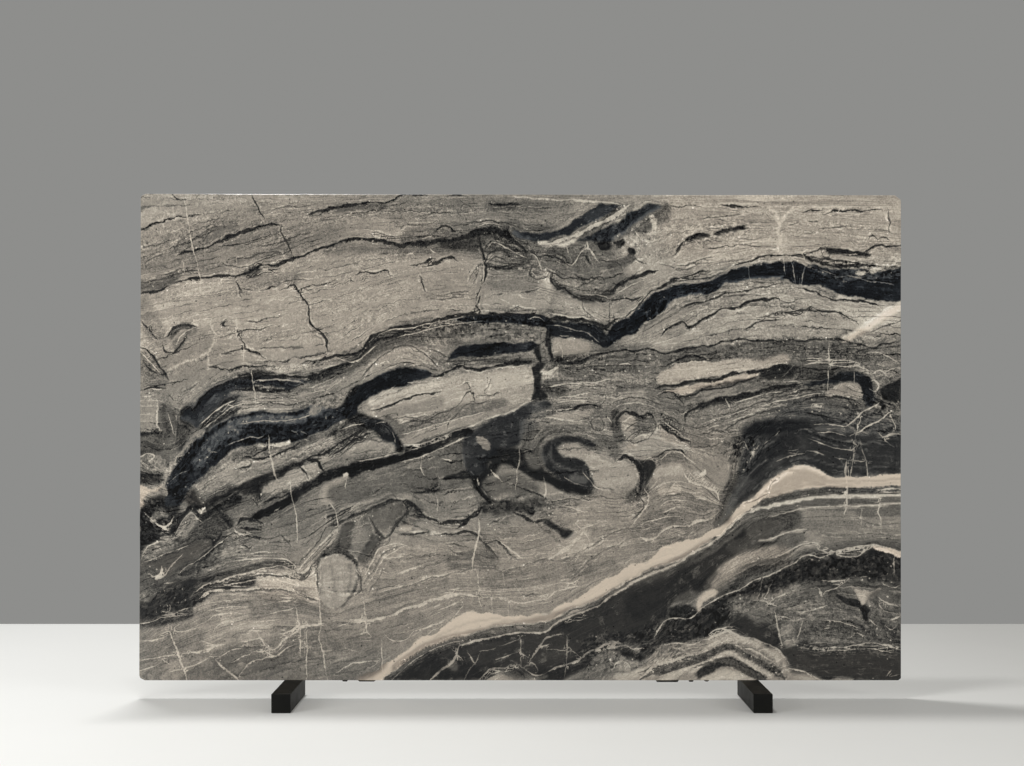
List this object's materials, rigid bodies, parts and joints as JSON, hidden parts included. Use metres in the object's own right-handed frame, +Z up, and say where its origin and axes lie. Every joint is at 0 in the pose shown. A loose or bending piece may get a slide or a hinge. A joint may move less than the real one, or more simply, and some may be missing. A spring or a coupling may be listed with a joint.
{
  "type": "marble slab on stand bars",
  "caption": "Upright polished marble slab, grey-brown with dark folded bands and a cream vein, standing on square black bars that keep its lower edge off the floor.",
  "frame": {"origin": "on the floor, under the middle of the object's box, half way between the ends of the bars", "axes": "+Z up, +X along the slab from left to right as seen from its polished face, -Y the side that the polished face looks to"},
  "size_m": [3, 0.45, 1.9883],
  "materials": {
    "marble": "polished",
    "black_paint": "matte",
    "packing_rubber": "matte"
  },
  "bodies": {
    "root": {"marble_slab": "marble", "foot_bar_left": "black_paint", "foot_bar_right": "black_paint", "packer_left_short": "packing_rubber", "packer_left_long": "packing_rubber", "packer_right_long": "packing_rubber", "packer_right_short": "packing_rubber", "packer_right_end": "packing_rubber"}
  },
  "joints": []
}
